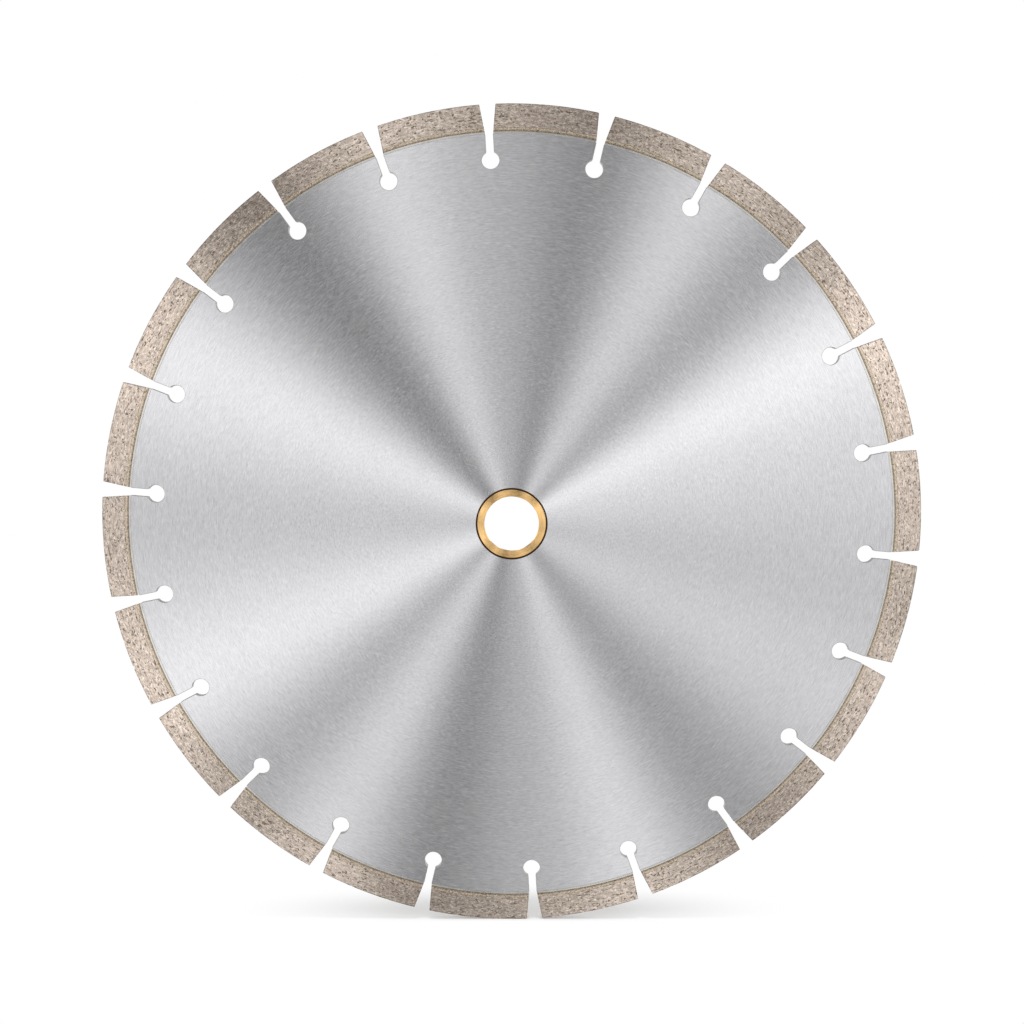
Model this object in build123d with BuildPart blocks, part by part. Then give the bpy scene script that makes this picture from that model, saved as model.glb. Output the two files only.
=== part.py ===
"""Segmented diamond saw blade for cutting stone and concrete, all lengths in millimetres.

The blade stands upright in the XZ plane with its spin axis on Y. The origin is the centre of the
bore at half the core's thickness, +Z is up, and the front face looks towards -Y. Angles are in
degrees, counted from +X towards +Z.

A flat steel core carries 22 sintered segments on its rim. Each segment has a foot without diamond,
and a laser weld joins the foot to the core. Keyhole slots part the core's rim between segments.
A brass bushing reduces the core's bore to a smaller arbor and pushes out by hand.
"""
from build123d import *
import os
from math import asin, degrees, radians, sin

# Whole blade
blade_diameter = 300.0
segment_count = 22
top_slot_angle = 93.3

# Steel core
core_thickness = 2.2
core_bore_diameter = 25.4
bore_chamfer = 0.5

# Reducing bushing, whose wall brings the core's bore down to a 20 mm arbor
bushing_wall = 2.675
bushing_clearance = 0.025
bushing_recess = 0.1
bushing_chamfer = 0.25

# Keyhole slots
slot_width = 2.75
keyhole_diameter = 6.35
keyhole_depth = 9.0
neck_radius = 0.5

# Segments, feet and welds, counted inwards from the cutting edge
segment_thickness = 3.0
diamond_depth = 8.4
foot_depth = 1.2
foot_flank = 0.3
weld_width = 0.8
weld_crown = 0.08
end_setback = 0.03

# Radii and angles that follow from the sizes above
cutting_radius = blade_diameter / 2
diamond_inner_radius = cutting_radius - diamond_depth
foot_inner_radius = diamond_inner_radius - foot_depth
core_radius = foot_inner_radius - weld_width
keyhole_circle_radius = core_radius - keyhole_depth
core_bore_radius = core_bore_diameter / 2
bushing_radius = core_bore_radius - bushing_clearance
bushing_thickness = core_thickness - 2 * bushing_recess
arbor_radius = bushing_radius - bushing_wall
pitch = 360 / segment_count

# The land of the core between two slots, as wide at the rim as the chord between its corners
slot_half_angle = degrees(asin(slot_width / 2 / core_radius))
land_width = 2 * core_radius * sin(radians(pitch / 2 - slot_half_angle))
segment_length = land_width - 2 * end_setback


def segment_turn(number):
    """The rotation that takes a block from the +X axis to the place of one segment."""
    return (0, (number - 0.5) * pitch - top_slot_angle, 0)


def rim_block(inner_radius, outer_radius):
    """Outline of a block of the rim: two arcs round the blade's axis, and parallel ends."""
    with BuildSketch() as outline:
        Circle(outer_radius)
        Circle(inner_radius, mode=Mode.SUBTRACT)
        Rectangle(
            blade_diameter, segment_length, align=(Align.MIN, Align.CENTER), mode=Mode.INTERSECT
        )
    return outline.sketch


def export(node, name):
    """Label a finished piece and write its file."""
    node.part.label = name
    export_step(node.part, f"parts/{name}.step")


os.makedirs("parts", exist_ok=True)

# Keyhole slot, drawn from the centre of its round end outwards past the rim
with BuildSketch() as keyhole:
    Circle(keyhole_diameter / 2)
    Rectangle(2 * keyhole_depth, slot_width, align=(Align.MIN, Align.CENTER))
    fillet(keyhole.vertices().group_by(Axis.X)[0], neck_radius)

# Steel core: a ground disc with a bore and one keyhole slot between every two segments
with BuildPart() as steel_core:
    with BuildSketch(Plane.XZ):
        Circle(core_radius)
        Circle(core_bore_radius, mode=Mode.SUBTRACT)
        with PolarLocations(keyhole_circle_radius, segment_count, start_angle=top_slot_angle):
            add(keyhole.sketch, mode=Mode.SUBTRACT)
    extrude(amount=core_thickness / 2, both=True)
    bore_wall = steel_core.faces().filter_by(GeomType.CYLINDER).sort_by_distance((0, 0, 0))[0]
    chamfer(bore_wall.edges().filter_by(GeomType.CIRCLE), bore_chamfer)
export(steel_core, "steel_core")

# Reducing bushing: a turned ring, a little thinner than the core, free to slide out along Y
with BuildPart() as reducing_bushing:
    with BuildSketch(Plane.XZ):
        Circle(bushing_radius)
        Circle(arbor_radius, mode=Mode.SUBTRACT)
    extrude(amount=bushing_thickness / 2, both=True)
    chamfer(reducing_bushing.edges().filter_by(GeomType.CIRCLE), bushing_chamfer)
export(reducing_bushing, "reducing_bushing")

# Weld seams: one strip per segment through the full thickness, proud of the core on both faces
weld_outline = rim_block(core_radius, foot_inner_radius)
with BuildPart() as weld_seams:
    with BuildSketch(Plane.XZ):
        with PolarLocations(0, segment_count, start_angle=top_slot_angle - pitch / 2):
            add(weld_outline)
    extrude(amount=core_thickness / 2 + weld_crown, both=True)
export(weld_seams, "weld_seams")

# One foot on the +X axis: sintered with its segment and as thick there, with flanks that slope
# down to the weld
foot_outline = rim_block(foot_inner_radius, diamond_inner_radius)
with BuildPart() as foot_block:
    with BuildSketch(Plane.XY):
        with BuildLine():
            Polyline(
                (foot_inner_radius, segment_thickness / 2 - foot_flank),
                (diamond_inner_radius, segment_thickness / 2),
                (diamond_inner_radius, -segment_thickness / 2),
                (foot_inner_radius, -segment_thickness / 2 + foot_flank),
                close=True,
            )
        make_face()
    revolve(axis=Axis.Y)
    with BuildSketch(Plane.XZ):
        add(foot_outline)
    extrude(amount=segment_thickness, both=True, mode=Mode.INTERSECT)

# One diamond segment on the +X axis
with BuildPart() as diamond_block:
    with BuildSketch(Plane.XZ):
        add(rim_block(diamond_inner_radius, cutting_radius))
    extrude(amount=segment_thickness / 2, both=True)

# Segments and feet in their places, numbered clockwise from the slot at the top
for number in range(1, segment_count + 1):
    with BuildPart() as segment_foot:
        add(foot_block.part, rotation=segment_turn(number))
    export(segment_foot, f"segment_foot_{number:02d}")

    with BuildPart() as diamond_segment:
        add(diamond_block.part, rotation=segment_turn(number))
    export(diamond_segment, f"diamond_segment_{number:02d}")
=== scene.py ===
import math

import bmesh
import bpy
from bpy.props import FloatProperty, FloatVectorProperty, IntProperty, PointerProperty
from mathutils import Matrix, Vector


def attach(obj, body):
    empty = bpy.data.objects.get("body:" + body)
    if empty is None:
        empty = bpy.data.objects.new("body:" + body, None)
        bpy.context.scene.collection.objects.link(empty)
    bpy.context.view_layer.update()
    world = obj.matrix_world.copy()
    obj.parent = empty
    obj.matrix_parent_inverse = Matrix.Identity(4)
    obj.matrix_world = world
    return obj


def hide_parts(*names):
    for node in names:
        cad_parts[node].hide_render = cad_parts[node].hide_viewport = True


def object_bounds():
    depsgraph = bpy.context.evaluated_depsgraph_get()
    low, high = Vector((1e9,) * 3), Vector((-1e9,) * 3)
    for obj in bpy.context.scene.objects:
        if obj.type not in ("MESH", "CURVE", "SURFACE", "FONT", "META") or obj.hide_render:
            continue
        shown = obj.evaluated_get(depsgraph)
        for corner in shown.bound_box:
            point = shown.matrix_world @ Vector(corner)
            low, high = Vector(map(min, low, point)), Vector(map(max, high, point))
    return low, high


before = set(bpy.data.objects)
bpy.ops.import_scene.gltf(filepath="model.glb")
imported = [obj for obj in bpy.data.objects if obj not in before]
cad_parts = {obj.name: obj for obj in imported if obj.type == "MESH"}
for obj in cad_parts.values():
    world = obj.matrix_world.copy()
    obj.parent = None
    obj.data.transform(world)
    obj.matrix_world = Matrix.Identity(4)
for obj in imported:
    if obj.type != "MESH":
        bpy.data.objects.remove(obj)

bl_info = {
    "name": "Segmented diamond blade",
    "version": (1, 0, 0),
    "blender": (4, 5, 0),
    "location": "3D View > Sidebar > Saw Blade",
    "description": "Dresses a saw blade: ground core, bushing, welds, sintered rim and a pale studio",
    "category": "Object",
}

CAD_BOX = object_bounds()
MM = 0.001
# Width of the band of painted shade along a diamond segment's ends and outer edge
EDGE_SHADE = 0.45 * MM
BLADE = "blade"
BUSHING = "bushing"
SEGMENTS = sorted(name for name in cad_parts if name.startswith("diamond_segment_"))


def measure(node):
    """Inner radius, outer radius and half thickness of a CAD node."""
    points = [vertex.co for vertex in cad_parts[node].data.vertices]
    radii = [math.hypot(point.x, point.z) for point in points]
    return min(radii), max(radii), max(abs(point.y) for point in points)


def centre_angle(node):
    """Angle of a rim block's centre line, from +X towards +Z."""
    points = [vertex.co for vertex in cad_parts[node].data.vertices]
    return math.atan2(sum(point.z for point in points), sum(point.x for point in points))


def end_spread(node):
    """Distance between the parallel ends of a rim block."""
    angle = centre_angle(node)
    points = [vertex.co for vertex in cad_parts[node].data.vertices]
    along = [point.z * math.cos(angle) - point.x * math.sin(angle) for point in points]
    return max(along) - min(along)


CORE_BORE, CORE_RIM, CORE_HALF = measure("steel_core")
RING_BORE, RING_RIM, RING_HALF = measure("reducing_bushing")
WELD_INNER, WELD_OUTER, WELD_HALF = measure("weld_seams")
FOOT_INNER, FOOT_OUTER, FOOT_HALF = measure("segment_foot_01")
MATRIX_INNER, MATRIX_OUTER, MATRIX_HALF = measure("diamond_segment_01")


def length(name, description, default):
    """A property that holds a length in metres."""
    return FloatProperty(
        name=name, description=description, default=default, unit="LENGTH", subtype="DISTANCE", precision=5
    )


def angle(name, description, default):
    """A property that holds an angle, given in degrees."""
    return FloatProperty(
        name=name, description=description, default=math.radians(default), unit="ROTATION", subtype="ANGLE"
    )


def share(name, description, default):
    """A property that holds a plain number."""
    return FloatProperty(name=name, description=description, default=default)


def colour(name, description, default):
    """A property that holds a linear colour."""
    return FloatVectorProperty(
        name=name, description=description, default=default, subtype="COLOR", size=3, min=0.0, max=1.0
    )


class CoreSizes(bpy.types.PropertyGroup):
    """Sizes of the steel core and its keyhole slots."""

    rim_radius: length("Rim radius", "Radius of the core where the welds begin", CORE_RIM)
    bore_radius: length("Bore radius", "Radius of the hole that holds the bushing", CORE_BORE)
    half_thickness: length("Half thickness", "Half of the core's thickness", CORE_HALF)
    bore_chamfer: length("Bore chamfer", "Depth of the chamfer round the bore", 0.5 * MM)
    slot_width: length("Slot width", "Width of the slots between segments", 2.75 * MM)
    keyhole_radius: length("Keyhole radius", "Radius of the round end of a slot", 3.175 * MM)
    keyhole_depth: length("Keyhole depth", "From the core's rim to the keyhole's centre", 9.0 * MM)
    neck_radius: length("Neck radius", "Rounding where a slot meets its keyhole", 0.5 * MM)
    edge_break: length("Edge break", "Small chamfer along the slots", 0.15 * MM)


class BushingSizes(bpy.types.PropertyGroup):
    """Sizes of the reducing bushing."""

    outer_radius: length("Outer radius", "Radius of the ring outside", RING_RIM)
    arbor_radius: length("Arbor radius", "Radius of the hole for the arbor", RING_BORE)
    half_thickness: length("Half thickness", "Half of the ring's thickness", RING_HALF)
    edge_break: length("Edge break", "Size of the turned edges", 0.25 * MM)


class RimSizes(bpy.types.PropertyGroup):
    """Sizes of the welds, the feet and the diamond segments."""

    segment_count: IntProperty(name="Segments", description="Number of segments", default=len(SEGMENTS))
    segment_length: length("Length", "Distance between a segment's parallel ends", end_spread(SEGMENTS[0]))
    edge_break: length("Edge break", "Rounding of a segment's edges", 0.12 * MM)
    foot_break: length("Foot edge break", "Rounding of a foot's edges", 0.06 * MM)
    grain_height: length("Grain height", "Roughness of the sintered surface", 0.03 * MM)
    crystal_size: length("Crystal size", "Diameter of a diamond crystal", 0.36 * MM)
    crystal_proud: length("Crystal height", "How far crystals stand proud of the matrix", 0.06 * MM)
    crystal_density: share("Crystals", "Crystals on a square millimetre of the matrix", 0.45)


class Finishes(bpy.types.PropertyGroup):
    """Colours of the blade's metals."""

    steel: colour("Ground steel", "Faces of the core", (0.49, 0.49, 0.5))
    cut_steel: colour("Cut steel", "Walls and edges of the slots", (0.38, 0.375, 0.37))
    # Dark brown of the bore's chamfer and wall: an oily film, and painted shade of the gap between the bushing
    # and the core
    oil_and_shade: colour("Oil film", "Dark film in the chamfer of the bore", (0.055, 0.028, 0.012))
    brass: colour("Brass", "Bushing", (0.63, 0.405, 0.175))
    weld: colour("Weld", "Heat-tinted weld metal", (0.5, 0.48, 0.45))
    foot: colour("Foot bronze", "Segment feet", (0.5, 0.415, 0.32))
    matrix: colour("Matrix", "Sintered bond of the segments", (0.455, 0.385, 0.33))
    pit: colour("Pit", "Dark pits in the matrix", (0.085, 0.05, 0.03))
    diamond: colour("Diamond", "Crystals in the matrix", (0.16, 0.13, 0.07))


class Studio(bpy.types.PropertyGroup):
    """Camera, floor and light."""

    elevation: angle("Elevation", "Height of the camera over the blade's centre", 5.0)
    distance: length("Distance", "From the camera to the point it looks at", 0.413)
    lens: share("Lens", "Focal length in millimetres on a 36 mm sensor", 39.54)
    aim_across: length("Aim across", "Where the camera looks, right of the bore", 0.00013)
    aim_up: length("Aim up", "Where the camera looks, above the bore", 0.00426)
    tent: share("Tent", "Brightness of the even light round the blade", 0.85)
    top: share("Top", "Strength of the strip light overhead, which draws the shadow", 1.0)


class Socket:
    """One output of a node. Python's operators on it add Math nodes to its tree."""

    def __init__(self, graph, output):
        self.graph = graph
        self.output = output

    def __getitem__(self, name):
        return Socket(self.graph, self.output.node.outputs[name])

    def __add__(self, other):
        return self.graph.maths("ADD", self, other)

    def __radd__(self, other):
        return self.graph.maths("ADD", other, self)

    def __sub__(self, other):
        return self.graph.maths("SUBTRACT", self, other)

    def __rsub__(self, other):
        return self.graph.maths("SUBTRACT", other, self)

    def __mul__(self, other):
        return self.graph.maths("MULTIPLY", self, other)

    def __rmul__(self, other):
        return self.graph.maths("MULTIPLY", other, self)

    def __truediv__(self, other):
        return self.graph.maths("DIVIDE", self, other)

    def __rtruediv__(self, other):
        return self.graph.maths("DIVIDE", other, self)

    def __pow__(self, other):
        return self.graph.maths("POWER", self, other)

    def __gt__(self, other):
        return self.graph.maths("GREATER_THAN", self, other)

    def __lt__(self, other):
        return self.graph.maths("LESS_THAN", self, other)

    def __abs__(self):
        return self.graph.maths("ABSOLUTE", self)


class Graph:
    """A node tree, with one call for Math nodes and one for every other node."""

    def __init__(self, tree):
        self.tree = tree
        self.tree.nodes.clear()

    def feed(self, target, value):
        if isinstance(value, Socket):
            self.tree.links.new(value.output, target)
        elif value is not None:
            target.default_value = value

    def add(self, kind, settings=None, sockets=None, output=0):
        node = self.tree.nodes.new(kind)
        for name, value in (settings or {}).items():
            if name == "stops":
                self.set_stops(node.color_ramp, value)
            else:
                setattr(node, name, value)
        for key, value in (sockets or {}).items():
            self.feed(node.inputs[key], value)
        return Socket(self, node.outputs[output]) if len(node.outputs) else node

    def set_stops(self, ramp, stops):
        while len(ramp.elements) < len(stops):
            ramp.elements.new(1.0)
        for element, (position, value) in zip(ramp.elements, stops):
            element.position = position
            element.color = (value, value, value, 1.0)

    def maths(self, operation, *values, clamp=False):
        settings = {"operation": operation, "use_clamp": clamp}
        return self.add("ShaderNodeMath", settings, dict(enumerate(values)))

    def vector(self, operation, *values, scale=None):
        sockets = dict(enumerate(values))
        if scale is not None:
            sockets["Scale"] = scale
        return self.add("ShaderNodeVectorMath", {"operation": operation}, sockets)

    def combine(self, x, y, z):
        return self.add("ShaderNodeCombineXYZ", sockets={0: x, 1: y, 2: z})

    def blend(self, low, high, factor, kind="MIX"):
        """Mix two colours."""
        sockets = {0: factor, 6: low, 7: high}
        return self.add("ShaderNodeMix", {"data_type": "RGBA", "blend_type": kind}, sockets, output=2)

    def ease(self, value, low, high, start=0.0, end=1.0):
        """A smooth step from start to end while value goes from low to high."""
        sockets = {0: value, 1: low, 2: high, 3: start, 4: end}
        return self.add("ShaderNodeMapRange", {"interpolation_type": "SMOOTHSTEP"}, sockets)

    def noise(self, vector, scale=1.0, detail=2.0, rough=0.5, **more):
        sockets = {"Vector": vector, "Scale": scale, "Detail": detail, "Roughness": rough}
        sockets.update(more)
        settings = {"noise_dimensions": "4D" if "W" in more else "3D"}
        return self.add("ShaderNodeTexNoise", settings, sockets)


class Polar:
    """Where a shaded point lies on the blade: radius, angle and depth, from Object coordinates."""

    def __init__(self, graph):
        self.graph = graph
        self.place = graph.add("ShaderNodeTexCoord")["Object"]
        parts = graph.add("ShaderNodeSeparateXYZ", sockets={0: self.place})
        self.x = parts["X"]
        self.depth = parts["Y"]
        self.z = parts["Z"]
        self.radius = (self.x * self.x + self.z * self.z) ** 0.5
        self.angle = graph.maths("ARCTAN2", self.z, self.x)

    def grain(self, cells, width, lean=0.0, detail=2.0, rough=0.5):
        """Noise drawn out round the axis: cells to a radian, width across in metres, leaning off the circle."""
        graph = self.graph
        turned = self.angle
        if lean:
            turned = turned + math.tan(math.radians(lean)) * graph.maths("LOGARITHM", self.radius, math.e)
        along = graph.combine(
            cells * graph.maths("COSINE", turned), cells * graph.maths("SINE", turned), self.radius / width
        )
        return graph.noise(along, detail=detail, rough=rough, W=self.depth / (0.6 * MM))


def opaque(rgb):
    """A colour as a socket takes it."""
    return (*rgb, 1.0)


def start_material(name):
    """A new material and the graph of its emptied tree."""
    material = bpy.data.materials.new(name)
    material.use_nodes = True
    return material, Graph(material.node_tree)


def finish_material(graph, **sockets):
    """Put the shader and the output at the end of a material's graph."""
    named = {key.replace("_", " "): value for key, value in sockets.items()}
    shader = graph.add("ShaderNodeBsdfPrincipled", sockets=named)
    graph.add("ShaderNodeOutputMaterial", sockets={"Surface": shader})


def turned_normal(graph, polar, spread, width):
    """The normal of a face cut in circles round the axis: fine grooves tilt it away from the axis."""
    normal = graph.add("ShaderNodeNewGeometry")["Normal"]
    outwards = graph.vector("NORMALIZE", graph.combine(polar.x, 0.0, polar.z))
    groove = abs(graph.maths("SINE", 40.0 * polar.grain(30.0, width, detail=0.0)))
    tilt = graph.vector("SCALE", outwards, scale=groove * spread)
    return graph.vector("NORMALIZE", graph.vector("ADD", normal, tilt))


def ground_steel(finishes):
    """Steel ground in circles, with fine scratches that cross a little."""
    material, graph = start_material("ground_steel")
    polar = Polar(graph)
    left = polar.grain(42.0, 0.42 * MM, lean=16.0)
    right = polar.grain(50.0, 0.38 * MM, lean=-14.0)
    fine = polar.grain(80.0, 0.3 * MM, lean=2.0)
    cloud = graph.noise(polar.place, scale=45.0, detail=2.0)
    streaks = (left + right + fine) / 3.0 - 0.5
    tone = 1.0 + 1.05 * streaks + 0.06 * (cloud - 0.5)
    base = graph.vector("SCALE", tuple(finishes.steel), scale=tone)
    finish_material(
        graph,
        Base_Color=base,
        Metallic=1.0,
        Roughness=graph.maths("ADD", 0.2, 0.16 * streaks, clamp=True),
        Normal=turned_normal(graph, polar, 0.42, 0.12 * MM),
    )
    return material


def cut_steel(finishes):
    """Walls of the slots and the broken edges, darker than the ground faces."""
    material, graph = start_material("cut_steel")
    polar = Polar(graph)
    lines = graph.noise(polar.place, scale=2500.0, detail=1.0)
    base = graph.vector("SCALE", tuple(finishes.cut_steel), scale=0.75 + 0.5 * lines)
    finish_material(graph, Base_Color=base, Metallic=0.85, Roughness=0.42 + 0.15 * lines)
    return material


def oil_and_shade_chamfer(finishes):
    """The chamfer and wall of the bore, painted dark: an oily film, and painted shade of the gap round the
    bushing.
    """
    material, graph = start_material("oil_and_shade_chamfer")
    polar = Polar(graph)
    film = graph.noise(polar.place, scale=900.0, detail=2.0)
    # Painted shade: the bore's chamfer and wall are dark brown, for an oily film and the shade of the gap round
    # the bushing
    base = graph.vector("SCALE", tuple(finishes.oil_and_shade), scale=0.7 + 0.6 * film)
    finish_material(graph, Base_Color=base, Metallic=0.5, Roughness=0.4 + 0.2 * film)
    return material


def turned_brass(finishes):
    """Brass turned on a lathe."""
    material, graph = start_material("turned_brass")
    polar = Polar(graph)
    rings = polar.grain(5.0, 0.22 * MM, detail=2.0) - 0.5
    mottle = graph.noise(polar.place, scale=700.0, detail=3.0) - 0.5
    tone = 1.0 + 0.8 * rings + 0.4 * mottle
    base = graph.vector("SCALE", tuple(finishes.brass), scale=tone)
    finish_material(
        graph,
        Base_Color=base,
        Metallic=1.0,
        Roughness=0.2 + 0.2 * mottle,
        Normal=turned_normal(graph, polar, 0.42, 0.1 * MM),
    )
    return material


def sintered_matrix(finishes, rim, outer_radius):
    """Sintered bond, ground along the rim, with dark pits, pale flecks of painted diamond glint, fine streaks
    and painted shade along its edges.
    """
    material, graph = start_material("sintered_matrix")
    polar = Polar(graph)
    half_pitch = math.pi / rim.segment_count
    turned = graph.maths("WRAP", polar.angle - centre_angle(SEGMENTS[0]), half_pitch, -half_pitch)
    along = abs(polar.radius * graph.maths("SINE", turned))
    # Painted shade: the matrix darkens towards the segment's ends and outer edge
    edge_shade = graph.maths(
        "MAXIMUM",
        graph.ease(along, rim.segment_length / 2 - EDGE_SHADE, rim.segment_length / 2),
        graph.ease(polar.radius, outer_radius - EDGE_SHADE, outer_radius),
    )
    streaks = polar.grain(90.0, 0.45 * MM, detail=3.0, rough=0.7) - 0.5
    mottle = graph.noise(polar.place, scale=1100.0, detail=3.0, rough=0.6) - 0.5
    wide = graph.noise(polar.place, scale=25.0, detail=2.0) - 0.5
    dashes = graph.ease(polar.grain(70.0, 0.5 * MM, lean=8.0, detail=1.0), 0.63, 0.68)
    dots = graph.ease(polar.grain(170.0, 0.65 * MM, detail=1.0), 0.62, 0.67)
    pits = graph.maths("MAXIMUM", dashes, dots)
    # Painted glints: pale flecks in the base colour standing in for the shine of diamonds
    glints = graph.ease(polar.grain(130.0, 0.5 * MM, lean=-5.0, detail=1.0), 0.58, 0.66)
    tone = 1.0 + 2.0 * streaks + 1.2 * mottle + 0.5 * wide
    base = graph.vector("SCALE", tuple(finishes.matrix), scale=tone * (1.0 - 0.55 * edge_shade))
    pitted = graph.blend(base, opaque(finishes.pit), 0.75 * pits)
    glinted = graph.blend(pitted, (0.75, 0.66, 0.58, 1.0), 0.75 * glints)
    height = 0.5 * streaks + 0.6 * mottle - 1.2 * pits + 0.5 * glints
    bump = graph.add(
        "ShaderNodeBump",
        sockets={
            "Strength": 0.15,
            "Distance": 0.05 * MM,
            "Height": height,
            "Normal": turned_normal(graph, polar, 0.42, 0.14 * MM),
        },
    )
    finish_material(
        graph,
        Base_Color=glinted,
        Metallic=0.97,
        Roughness=0.24 + 0.2 * mottle + 0.2 * pits,
        Normal=bump,
    )
    return material


def foot_bronze(finishes):
    """Sintered bronze of the segment feet, grainy and a little golden, with painted shade along the inner edge
    where the foot meets the weld.
    """
    material, graph = start_material("foot_bronze")
    polar = Polar(graph)
    grains = graph.noise(polar.place, scale=1500.0, detail=2.0) - 0.5
    dots = graph.ease(polar.grain(190.0, 0.5 * MM, detail=1.0), 0.56, 0.66)
    # Painted shade: the foot darkens along its inner edge, where it meets the weld
    inner = graph.ease(polar.radius, FOOT_INNER + 0.2 * MM, FOOT_INNER + 0.7 * MM, 0.55, 1.0)
    base = graph.vector("SCALE", tuple(finishes.foot), scale=inner * (1.0 + 1.6 * grains))
    dotted = graph.blend(base, opaque(finishes.pit), 0.6 * dots)
    bump = graph.add(
        "ShaderNodeBump",
        sockets={
            "Strength": 0.15,
            "Distance": 0.05 * MM,
            "Height": grains - dots,
            "Normal": turned_normal(graph, polar, 0.42, 0.14 * MM),
        },
    )
    finish_material(graph, Base_Color=dotted, Metallic=0.97, Roughness=0.26 + 0.3 * grains, Normal=bump)
    return material


def weld_metal(finishes):
    """Laser weld, rippled along the seam and tinted by its heat."""
    material, graph = start_material("weld_metal")
    polar = Polar(graph)
    ripples = graph.maths("SINE", polar.angle * 2400.0 + 6.0 * graph.noise(polar.place, scale=500.0))
    tint = graph.noise(polar.place, scale=300.0, detail=2.0)
    base = graph.vector("SCALE", tuple(finishes.weld), scale=0.75 + 0.5 * tint)
    bump = graph.add(
        "ShaderNodeBump",
        sockets={
            "Strength": 0.1,
            "Distance": 0.03 * MM,
            "Height": ripples,
            "Normal": turned_normal(graph, polar, 0.42, 0.14 * MM),
        },
    )
    finish_material(graph, Base_Color=base, Metallic=1.0, Roughness=0.15 + 0.15 * tint, Normal=bump)
    return material


def diamond_crystal(finishes):
    """Dull yellow-grey crystals."""
    material, graph = start_material("diamond_crystal")
    polar = Polar(graph)
    tint = graph.noise(polar.place, scale=900.0, detail=1.0)
    base = graph.vector("SCALE", tuple(finishes.diamond), scale=0.3 + 1.4 * tint)
    finish_material(graph, Base_Color=base, Metallic=0.0, Roughness=0.15 + 0.2 * tint, IOR=2.0)
    return material


def piece_from(name, mesh, materials, body, nodes):
    """Make a finished piece of a mesh, put it on its body and hide the CAD nodes it takes the place of."""
    mesh.name = name
    piece = bpy.data.objects.new(name, mesh)
    bpy.context.scene.collection.objects.link(piece)
    for material in materials:
        if material.name not in [held.name for held in mesh.materials if held]:
            mesh.materials.append(material)
    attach(piece, body)
    if nodes:
        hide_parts(*nodes)
    return piece


def arc(centre, radius, start, end, steps):
    """Points of an arc, both ends included. Centre is (across, up) and angles are in radians."""
    turns = [start + (end - start) * step / steps for step in range(steps + 1)]
    return [(centre[0] + radius * math.cos(turn), centre[1] + radius * math.sin(turn)) for turn in turns]


def turn_point(point, turn):
    """A flat point turned about the axis."""
    cosine = math.cos(turn)
    sine = math.sin(turn)
    return (point[0] * cosine - point[1] * sine, point[0] * sine + point[1] * cosine)


def core_outline(sizes, rim, inset):
    """The core's outer contour: an arc between every two slots, and the slots, widened by inset."""
    half_slot = sizes.slot_width / 2 + inset
    edge_radius = sizes.rim_radius
    neck_reach = sizes.keyhole_radius + sizes.neck_radius
    neck_side = sizes.slot_width / 2 + sizes.neck_radius
    neck_out = math.sqrt(neck_reach**2 - neck_side**2)
    neck_turn = math.atan2(neck_side, neck_out)
    keyhole_centre = sizes.rim_radius - sizes.keyhole_depth
    neck = sizes.neck_radius - inset
    # One slot on the +X axis, from its upper rim corner inwards, round the keyhole and out again
    corner_turn = math.asin(half_slot / edge_radius)
    upper = arc((keyhole_centre + neck_out, neck_side), neck, math.radians(270), neck_turn + math.pi, 6)
    around = arc(
        (keyhole_centre, 0.0), sizes.keyhole_radius + inset, neck_turn, 2 * math.pi - neck_turn, 48
    )
    lower = [(across, -up) for across, up in reversed(upper)]
    slot = [
        (edge_radius * math.cos(corner_turn), half_slot),
        *upper,
        *around[1:-1],
        *lower,
        (edge_radius * math.cos(corner_turn), -half_slot),
    ]
    pitch = 2 * math.pi / rim.segment_count
    land = arc((0.0, 0.0), edge_radius, -corner_turn, -(pitch - corner_turn), 40)[1:-1]
    first = centre_angle(SEGMENTS[0]) + pitch / 2
    points = []
    for number in range(rim.segment_count):
        points += [turn_point(point, first - number * pitch) for point in (*slot, *land)]
    return points


def add_ring(mesh, points, depth):
    """Add a closed loop of points at one depth and return its vertices."""
    return [mesh.verts.new((across, depth, up)) for across, up in points]


def bridge(mesh, first, second, material):
    """Join two loops of as many points with four-sided faces."""
    for index in range(len(first)):
        after = (index + 1) % len(first)
        face = mesh.faces.new((first[index], first[after], second[after], second[index]))
        face.material_index = material


def close_face(mesh, loops, material):
    """Fill the flat area between loops."""
    edges = []
    for loop in loops:
        for index, vertex in enumerate(loop):
            other = loop[(index + 1) % len(loop)]
            edges.append(mesh.edges.get((vertex, other)) or mesh.edges.new((vertex, other)))
    filled = bmesh.ops.triangle_fill(mesh, use_beauty=True, use_dissolve=False, edges=edges)
    for item in filled["geom"]:
        if isinstance(item, bmesh.types.BMFace):
            item.material_index = material


def sealed_mesh(name, mesh, sharp):
    """Turn a bmesh into a mesh with faces outwards and edges sharper than an angle kept crisp."""
    bmesh.ops.recalc_face_normals(mesh, faces=mesh.faces)
    made = bpy.data.meshes.new(name)
    mesh.to_mesh(made)
    mesh.free()
    made.shade_smooth()
    made.set_sharp_from_angle(angle=math.radians(sharp))
    return made


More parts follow.
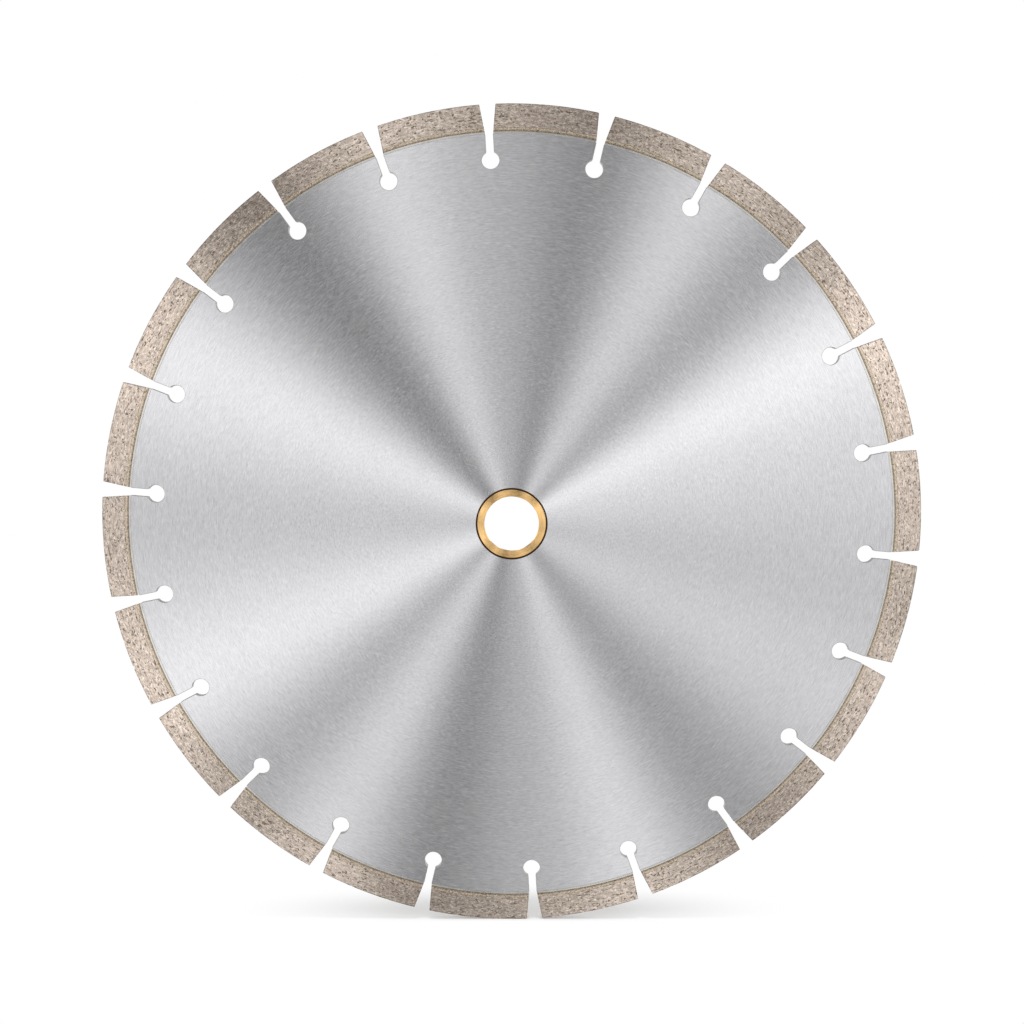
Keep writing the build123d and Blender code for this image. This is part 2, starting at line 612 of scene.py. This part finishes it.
class BLADE_OT_steel_core(bpy.types.Operator):
    """Build the ground steel core with its keyhole slots and broken edges"""

    bl_idname = "blade.steel_core"
    bl_label = "Steel Core"

    def execute(self, context):
        sizes = context.scene.blade_core
        rim = context.scene.blade_rim
        finishes = context.scene.blade_finishes
        half = sizes.half_thickness
        ground, cut, oily_shaded_bore = 0, 1, 2
        full = core_outline(sizes, rim, 0.0)
        inset = core_outline(sizes, rim, sizes.edge_break)
        bore = arc((0.0, 0.0), sizes.bore_radius, 0.0, 2 * math.pi, 192)[:-1]
        flare = arc((0.0, 0.0), sizes.bore_radius + sizes.bore_chamfer, 0.0, 2 * math.pi, 192)[:-1]
        mesh = bmesh.new()
        outer = [
            add_ring(mesh, inset, -half),
            add_ring(mesh, full, -half + sizes.edge_break),
            add_ring(mesh, full, half - sizes.edge_break),
            add_ring(mesh, inset, half),
        ]
        inner = [
            add_ring(mesh, flare, -half),
            add_ring(mesh, bore, -half + sizes.bore_chamfer),
            add_ring(mesh, bore, half - sizes.bore_chamfer),
            add_ring(mesh, flare, half),
        ]
        for first, second in zip(outer, outer[1:]):
            bridge(mesh, first, second, cut)
        for first, second in zip(inner, inner[1:]):
            bridge(mesh, first, second, oily_shaded_bore)
        close_face(mesh, [outer[0], inner[0]], ground)
        close_face(mesh, [outer[-1], inner[-1]], ground)
        made = sealed_mesh("ground_core", mesh, 30.0)
        materials = [ground_steel(finishes), cut_steel(finishes), oil_and_shade_chamfer(finishes)]
        piece_from("ground_core", made, materials, BLADE, ["steel_core"])
        return {"FINISHED"}


class BLADE_OT_reducing_bushing(bpy.types.Operator):
    """Turn the reducing bushing"""

    bl_idname = "blade.reducing_bushing"
    bl_label = "Reducing Bushing"

    def execute(self, context):
        sizes = context.scene.blade_bushing
        half = sizes.half_thickness
        edge = sizes.edge_break
        corners = [
            (sizes.arbor_radius + edge, -half + edge, 180, 270),
            (sizes.outer_radius - edge, -half + edge, 270, 360),
            (sizes.outer_radius - edge, half - edge, 0, 90),
            (sizes.arbor_radius + edge, half - edge, 90, 180),
        ]
        profile = []
        for radius, depth, start, end in corners:
            profile += arc((radius, depth), edge, math.radians(start), math.radians(end), 4)
        mesh = bmesh.new()
        loops = [
            add_ring(mesh, arc((0.0, 0.0), radius, 0.0, 2 * math.pi, 192)[:-1], depth)
            for radius, depth in profile
        ]
        for first, second in zip(loops, loops[1:] + loops[:1]):
            bridge(mesh, first, second, 0)
        made = sealed_mesh("brass_bushing", mesh, 40.0)
        materials = [turned_brass(context.scene.blade_finishes)]
        piece_from("brass_bushing", made, materials, BUSHING, ["reducing_bushing"])
        return {"FINISHED"}


def field_input(tree, name, kind, default=None):
    """Add a named input to a geometry tree."""
    item = tree.interface.new_socket(name=name, in_out="INPUT", socket_type=kind)
    if default is not None:
        item.default_value = default
    return item


def rim_block_tree():
    """A block of the rim: parallel ends, curved inside and outside, with rounded edges and a grain."""
    tree = bpy.data.node_groups.new("rim_block", "GeometryNodeTree")
    graph = Graph(tree)
    for name in ("Inner Radius", "Outer Radius", "Inner Half", "Outer Half", "Length", "Edge Break"):
        field_input(tree, name, "NodeSocketFloat")
    for name in ("Turn", "Grain Height", "Grain Scale"):
        field_input(tree, name, "NodeSocketFloat")
    for name in ("Rows Up", "Rows Through", "Rows Along"):
        field_input(tree, name, "NodeSocketInt", 4)
    field_input(tree, "Material", "NodeSocketMaterial")
    tree.interface.new_socket(name="Geometry", in_out="OUTPUT", socket_type="NodeSocketGeometry")
    given = graph.add("NodeGroupInput")
    cube = graph.add(
        "GeometryNodeMeshCube",
        sockets={
            "Size": (1.0, 1.0, 1.0),
            "Vertices X": given["Rows Up"],
            "Vertices Y": given["Rows Through"],
            "Vertices Z": given["Rows Along"],
        },
    )
    unit = graph.add("ShaderNodeSeparateXYZ", sockets={0: graph.add("GeometryNodeInputPosition")})
    edges = {axis: abs(unit[axis]) > 0.499 for axis in "XYZ"}
    extra = edges["X"] + edges["Y"] + edges["Z"] - 1.0
    pull = given["Edge Break"] * (0.293 * extra - 0.0815 * extra * (extra - 1.0))

    def spread(axis, half, rows):
        """Stretch one axis to its size, with its outer rows an edge break apart."""
        inner_row = 0.5 - 1.0 / (rows - 1.0)
        stretched = unit[axis] * (half - given["Edge Break"]) / inner_row
        limited = graph.maths("MAXIMUM", graph.maths("MINIMUM", stretched, half), 0.0 - half)
        return limited - graph.maths("SIGN", unit[axis]) * edges[axis] * pull

    depth = given["Outer Radius"] - given["Inner Radius"]
    radius = (given["Inner Radius"] + given["Outer Radius"]) / 2.0 + spread("X", depth / 2.0, given["Rows Up"])
    share_out = (radius - given["Inner Radius"]) / depth
    half = given["Inner Half"] + (given["Outer Half"] - given["Inner Half"]) * share_out
    through = spread("Y", half, given["Rows Through"])
    along = spread("Z", given["Length"] / 2.0, given["Rows Along"])
    out = (radius * radius - along * along) ** 0.5
    cosine = graph.maths("COSINE", given["Turn"])
    sine = graph.maths("SINE", given["Turn"])
    place = graph.combine(out * cosine - along * sine, through, out * sine + along * cosine)
    shaped = graph.add(
        "GeometryNodeSetPosition", sockets={"Geometry": cube, "Position": place}
    )
    where = graph.add("GeometryNodeInputPosition")
    grain = graph.noise(where, scale=given["Grain Scale"], detail=1.0) - 1.0
    push = graph.vector(
        "SCALE", graph.add("GeometryNodeInputNormal"), scale=grain * given["Grain Height"]
    )
    grained = graph.add("GeometryNodeSetPosition", sockets={"Geometry": shaped, "Offset": push})
    real = graph.add("GeometryNodeRealizeInstances", sockets={"Geometry": grained})
    dressed = graph.add(
        "GeometryNodeSetMaterial", sockets={"Geometry": real, "Material": given["Material"]}
    )
    graph.add("NodeGroupOutput", sockets={0: dressed})
    return tree


def crystal_tree():
    """Diamond crystals scattered over a mesh, half sunk into it."""
    tree = bpy.data.node_groups.new("diamond_crystals", "GeometryNodeTree")
    graph = Graph(tree)
    field_input(tree, "Geometry", "NodeSocketGeometry")
    for name in ("Density", "Size", "Sink"):
        field_input(tree, name, "NodeSocketFloat")
    field_input(tree, "Seed", "NodeSocketInt")
    field_input(tree, "Material", "NodeSocketMaterial")
    tree.interface.new_socket(name="Geometry", in_out="OUTPUT", socket_type="NodeSocketGeometry")
    given = graph.add("NodeGroupInput")
    points = graph.add(
        "GeometryNodeDistributePointsOnFaces",
        sockets={"Mesh": given["Geometry"], "Density": given["Density"], "Seed": given["Seed"]},
    )
    sunk = graph.vector("SCALE", points["Normal"], scale=0.0 - given["Sink"])
    placed = graph.add("GeometryNodeSetPosition", sockets={"Geometry": points, "Offset": sunk})
    crystal = graph.add(
        "GeometryNodeMeshIcoSphere", sockets={"Radius": given["Size"] / 2.0, "Subdivisions": 1}
    )
    turn = graph.add(
        "FunctionNodeRandomValue",
        {"data_type": "FLOAT_VECTOR"},
        {0: (0.0, 0.0, 0.0), 1: (math.tau, math.tau, math.tau), "Seed": given["Seed"]},
    )
    size = graph.add(
        "FunctionNodeRandomValue", {"data_type": "FLOAT"}, {2: 0.7, 3: 1.0, "Seed": given["Seed"]}, output=1
    )
    crystals = graph.add(
        "GeometryNodeInstanceOnPoints",
        sockets={"Points": placed, "Instance": crystal, "Rotation": turn, "Scale": size},
    )
    real = graph.add("GeometryNodeRealizeInstances", sockets={"Geometry": crystals})
    dressed = graph.add(
        "GeometryNodeSetMaterial", sockets={"Geometry": real, "Material": given["Material"]}
    )
    graph.add("NodeGroupOutput", sockets={0: dressed})
    return tree


def grow(tree, values, host=None):
    """Run a geometry tree on a carrier object and return its result as a plain mesh."""
    carrier = bpy.data.objects.new("carrier", host or bpy.data.meshes.new("carrier"))
    bpy.context.scene.collection.objects.link(carrier)
    modifier = carrier.modifiers.new("grow", "NODES")
    modifier.node_group = tree
    for item in tree.interface.items_tree:
        if item.in_out == "INPUT" and item.name in values:
            modifier[item.identifier] = values[item.name]
    depsgraph = bpy.context.evaluated_depsgraph_get()
    made = bpy.data.meshes.new_from_object(
        carrier.evaluated_get(depsgraph), preserve_all_data_layers=True, depsgraph=depsgraph
    )
    carrier.modifiers.remove(modifier)
    bpy.data.objects.remove(carrier)
    if not len(made.polygons):
        raise RuntimeError(f"{tree.name} made no faces")
    return made


def joined(name, meshes):
    """Join meshes that share their materials into one."""
    mesh = bmesh.new()
    for made in meshes:
        mesh.from_mesh(made)
    whole = bpy.data.meshes.new(name)
    mesh.to_mesh(whole)
    mesh.free()
    for material in meshes[0].materials:
        whole.materials.append(material)
    for made in meshes:
        bpy.data.meshes.remove(made)
    return whole


def crisp(mesh, sharp):
    """Smooth a mesh, but keep edges sharper than an angle crisp."""
    mesh.shade_smooth()
    mesh.set_sharp_from_angle(angle=math.radians(sharp))
    return mesh


class BLADE_OT_weld_seams(bpy.types.Operator):
    """Lay the laser welds between the core and the feet"""

    bl_idname = "blade.weld_seams"
    bl_label = "Weld Seams"

    def execute(self, context):
        rim = context.scene.blade_rim
        tree = rim_block_tree()
        values = {
            "Inner Radius": WELD_INNER,
            "Outer Radius": WELD_OUTER,
            "Inner Half": WELD_HALF,
            "Outer Half": WELD_HALF,
            "Length": rim.segment_length,
            "Edge Break": 0.08 * MM,
            "Grain Height": 0.04 * MM,
            "Grain Scale": 2200.0,
            "Rows Up": 5,
            "Rows Through": 6,
            "Rows Along": 110,
            "Material": weld_metal(context.scene.blade_finishes),
        }
        strips = [grow(tree, {**values, "Turn": centre_angle(node)}) for node in SEGMENTS]
        whole = crisp(joined("weld_beads", strips), 40.0)
        piece_from("weld_beads", whole, [], BLADE, ["weld_seams"])
        return {"FINISHED"}


class BLADE_OT_segment_feet(bpy.types.Operator):
    """Build the sintered feet between the welds and the diamond segments"""

    bl_idname = "blade.segment_feet"
    bl_label = "Segment Feet"

    def execute(self, context):
        rim = context.scene.blade_rim
        tree = rim_block_tree()
        narrow = min(
            abs(vertex.co.y)
            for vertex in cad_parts["segment_foot_01"].data.vertices
            if math.hypot(vertex.co.x, vertex.co.z) < (FOOT_INNER + FOOT_OUTER) / 2
        )
        values = {
            "Inner Radius": FOOT_INNER,
            "Outer Radius": FOOT_OUTER,
            "Inner Half": narrow,
            "Outer Half": FOOT_HALF - rim.crystal_proud,
            "Length": rim.segment_length,
            "Edge Break": rim.foot_break,
            "Grain Height": rim.grain_height,
            "Grain Scale": 1500.0,
            "Rows Up": 6,
            "Rows Through": 7,
            "Rows Along": 75,
            "Material": foot_bronze(context.scene.blade_finishes),
        }
        for segment in SEGMENTS:
            node = segment.replace("diamond_segment", "segment_foot")
            made = crisp(grow(tree, {**values, "Turn": centre_angle(node)}), 20.0)
            piece_from(node.replace("segment_foot", "bronze_foot"), made, [], BLADE, [node])
        return {"FINISHED"}


class BLADE_OT_diamond_segments(bpy.types.Operator):
    """Build the diamond segments and the crystals in them"""

    bl_idname = "blade.diamond_segments"
    bl_label = "Diamond Segments"

    def execute(self, context):
        rim = context.scene.blade_rim
        finishes = context.scene.blade_finishes
        tree = rim_block_tree()
        # The grain may lift the surface by a few thousandths of a millimetre
        clear = rim.crystal_proud + 0.01 * MM
        values = {
            "Inner Radius": MATRIX_INNER,
            "Outer Radius": MATRIX_OUTER - clear,
            "Inner Half": MATRIX_HALF - clear,
            "Outer Half": MATRIX_HALF - clear,
            "Length": rim.segment_length,
            "Edge Break": rim.edge_break,
            "Grain Height": rim.grain_height,
            "Grain Scale": 1200.0,
            "Rows Up": 18,
            "Rows Through": 8,
            "Rows Along": 75,
            "Material": sintered_matrix(finishes, rim, MATRIX_OUTER - clear),
        }
        for node in SEGMENTS:
            made = crisp(grow(tree, {**values, "Turn": centre_angle(node)}), 20.0)
            name = node.replace("diamond_segment", "sintered_segment")
            piece_from(name, made, [], BLADE, [node])
        return {"FINISHED"}


class BLADE_OT_diamond_crystals(bpy.types.Operator):
    """Scatter diamond crystals over the segments"""

    bl_idname = "blade.diamond_crystals"
    bl_label = "Diamond Crystals"

    def execute(self, context):
        rim = context.scene.blade_rim
        hosts = []
        for node in SEGMENTS:
            name = node.replace("diamond_segment", "sintered_segment")
            hosts.append(bpy.data.objects[name].data.copy())
        host = joined("crystal_host", hosts)
        values = {
            "Density": rim.crystal_density / MM**2,
            "Size": rim.crystal_size,
            "Sink": rim.crystal_size / 2 - rim.crystal_proud,
            "Seed": 11,
            "Material": diamond_crystal(context.scene.blade_finishes),
        }
        made = grow(crystal_tree(), values, host)
        bpy.data.meshes.remove(host)
        piece_from("diamond_crystals", made, [], BLADE, [])
        return {"FINISHED"}


# Three kinds of light round the blade's axis, each as strength, tightness and azimuths in degrees
FLOODS = (1.25, 15.0, (10, 160, 200, 330))
BEAMS = (1.5, 60.0, (30, 60, 110, 240, 290))
GLEAMS = (0.75, 50.0, (90, 150, 210, 270))
PANEL_BASE = 0.05


def studio_world(studio):
    """White to the camera, an even tent to matt surfaces, and soft panels of light to metal."""
    world = bpy.data.worlds.new("studio")
    world.use_nodes = True
    graph = Graph(world.node_tree)
    direction = graph.add("ShaderNodeSeparateXYZ", sockets={0: graph.add("ShaderNodeTexCoord")})
    raised = direction["Z"] + math.sin(studio.elevation)
    azimuth = graph.maths("ARCTAN2", raised, direction["X"])
    glow = PANEL_BASE
    for strength, tightness, centres in (FLOODS, BEAMS, GLEAMS):
        for centre in centres:
            swing = graph.maths("COSINE", azimuth - math.radians(centre))
            glow = glow + strength * graph.maths("EXPONENT", tightness * (swing - 1.0))
    path = graph.add("ShaderNodeLightPath")
    sheen = path["Is Glossy Ray"]
    even = studio.tent
    level = even + (glow - even) * sheen
    seen = level + (1.0 - level) * path["Is Camera Ray"]
    light = graph.add("ShaderNodeBackground", sockets={"Color": (1.0, 1.0, 1.0, 1.0), "Strength": seen})
    graph.add("ShaderNodeOutputWorld", sockets={"Surface": light})
    return world


def floor_material():
    """A white floor that keeps the blade's soft shadow just behind it and glows everywhere else."""
    material, graph = start_material("white_floor")
    place = graph.add("ShaderNodeSeparateXYZ", sockets={0: graph.add("ShaderNodeTexCoord")["Object"]})
    across = place["X"] / 0.1
    behind = (place["Y"] - 0.008) / 0.022
    far = graph.ease((across * across + behind * behind) ** 0.5, 0.1, 1.1)
    ahead = graph.ease(0.0 - place["Y"], 0.0, 4.0 * MM)
    matt = graph.add("ShaderNodeBsdfDiffuse", sockets={"Color": (0.9, 0.9, 0.9, 1.0)})
    glow = graph.add("ShaderNodeEmission", sockets={"Color": (1.0, 1.0, 1.0, 1.0), "Strength": 1.0})
    clean = graph.maths("MAXIMUM", graph.maths("MAXIMUM", far, ahead), 0.2)
    factor = clean * graph.add("ShaderNodeLightPath")["Is Camera Ray"]
    both = graph.add("ShaderNodeMixShader", sockets={0: factor, 1: matt, 2: glow})
    graph.add("ShaderNodeOutputMaterial", sockets={"Surface": both})
    return material


def aim(thing, target):
    """Turn a lamp or the camera towards a point."""
    thing.rotation_euler = (Vector(target) - thing.location).to_track_quat("-Z", "Y").to_euler()


def add_lamp(name, place, target, size, depth, power):
    """Add a rectangular lamp."""
    data = bpy.data.lights.new(name, "AREA")
    data.shape = "RECTANGLE"
    data.size = size
    data.size_y = depth
    data.energy = power
    lamp = bpy.data.objects.new(name, data)
    bpy.context.scene.collection.objects.link(lamp)
    lamp.location = place
    lamp.visible_glossy = False
    aim(lamp, target)
    return lamp


class BLADE_OT_studio(bpy.types.Operator):
    """Set up the floor, the light and the camera"""

    bl_idname = "blade.studio"
    bl_label = "Studio"

    def execute(self, context):
        scene = context.scene
        studio = scene.blade_studio
        scene.view_settings.view_transform = "Standard"
        scene.world = studio_world(studio)
        # Floor
        ground = CAD_BOX[0][2]
        mesh = bmesh.new()
        half = 30.0
        corners = [(-half, -half), (half, -half), (half, half), (-half, half)]
        mesh.faces.new([mesh.verts.new((x, y, ground)) for x, y in corners])
        flat = bpy.data.meshes.new("floor")
        mesh.to_mesh(flat)
        mesh.free()
        flat.materials.append(floor_material())
        floor = bpy.data.objects.new("floor", flat)
        scene.collection.objects.link(floor)
        floor.visible_glossy = False
        # Lamps
        add_lamp("top_strip", (0.0, -0.08, 1.2), (0.0, 0.0, ground), 0.5, 0.12, 6.0 * studio.top)
        # Camera
        data = bpy.data.cameras.new("camera")
        data.lens = studio.lens
        data.sensor_width = 36.0
        data.clip_start = 0.01
        camera = bpy.data.objects.new("camera", data)
        scene.collection.objects.link(camera)
        target = Vector((studio.aim_across, 0.0, studio.aim_up))
        back = studio.distance * math.cos(studio.elevation)
        camera.location = target + Vector((0.0, -back, studio.distance * math.sin(studio.elevation)))
        aim(camera, target)
        scene.camera = camera
        return {"FINISHED"}


OPERATORS = (
    BLADE_OT_steel_core,
    BLADE_OT_reducing_bushing,
    BLADE_OT_weld_seams,
    BLADE_OT_segment_feet,
    BLADE_OT_diamond_segments,
    BLADE_OT_diamond_crystals,
    BLADE_OT_studio,
)
GROUPS = {
    "blade_core": CoreSizes,
    "blade_bushing": BushingSizes,
    "blade_rim": RimSizes,
    "blade_finishes": Finishes,
    "blade_studio": Studio,
}


class BLADE_PT_panel(bpy.types.Panel):
    """Lists the blade's sizes, colours and building steps"""

    bl_label = "Saw Blade"
    bl_idname = "BLADE_PT_panel"
    bl_space_type = "VIEW_3D"
    bl_region_type = "UI"
    bl_category = "Saw Blade"

    def draw(self, context):
        for name, group in GROUPS.items():
            box = self.layout.box()
            for key in group.__annotations__:
                box.prop(getattr(context.scene, name), key)
        for operator in OPERATORS:
            self.layout.operator(operator.bl_idname)


def register():
    for group in GROUPS.values():
        bpy.utils.register_class(group)
    for name, group in GROUPS.items():
        setattr(bpy.types.Scene, name, PointerProperty(type=group))
    for operator in OPERATORS:
        bpy.utils.register_class(operator)
    bpy.utils.register_class(BLADE_PT_panel)


def unregister():
    bpy.utils.unregister_class(BLADE_PT_panel)
    for operator in reversed(OPERATORS):
        bpy.utils.unregister_class(operator)
    for name, group in GROUPS.items():
        delattr(bpy.types.Scene, name)
        bpy.utils.unregister_class(group)


def main():
    register()
    bpy.ops.blade.steel_core()
    bpy.ops.blade.reducing_bushing()
    bpy.ops.blade.weld_seams()
    bpy.ops.blade.segment_feet()
    bpy.ops.blade.diamond_segments()
    bpy.ops.blade.diamond_crystals()
    bpy.ops.blade.studio()


if __name__ == "__main__":
    main()
